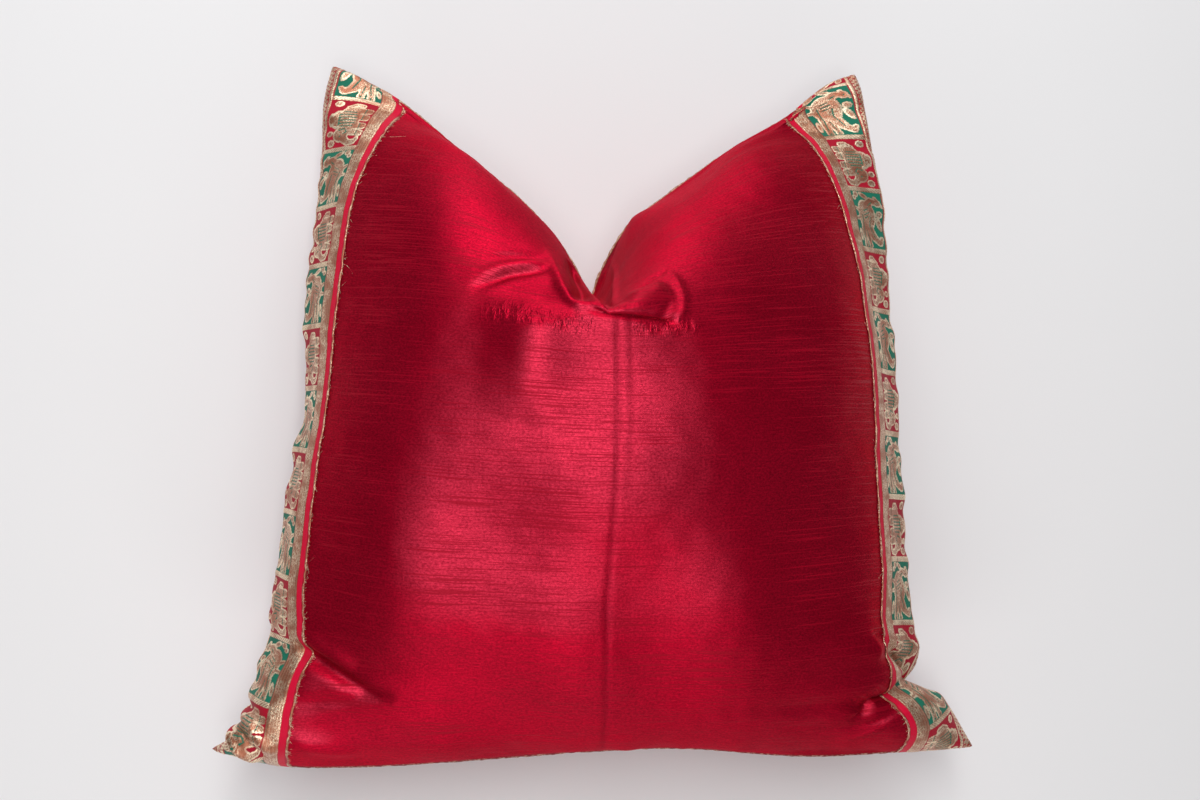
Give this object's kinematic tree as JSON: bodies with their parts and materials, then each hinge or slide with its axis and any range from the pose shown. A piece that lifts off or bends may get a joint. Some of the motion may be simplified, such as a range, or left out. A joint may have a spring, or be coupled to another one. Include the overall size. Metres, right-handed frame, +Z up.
{
  "type": "euro pillow cover",
  "caption": "Square silk cover on its filled pillow, lying on its back, with a pressed top edge between upright ears and woven figured trims down the sides of the face.",
  "frame": {"origin": "under the middle of the bounding box, on the surface that the pillow lies on", "axes": "+X to the right across the face, +Y to the face's top edge, +Z up, out of the face"},
  "size_m": [0.6478, 0.609, 0.2658],
  "materials": {
    "silk": "crisp shot silk in red and crimson with fine slubs",
    "brocade": "woven metallic gold and copper with green and red figured panels"
  },
  "bodies": {
    "root": {"filled_cover": "silk", "trim_left": "brocade", "trim_right": "brocade"}
  },
  "joints": []
}
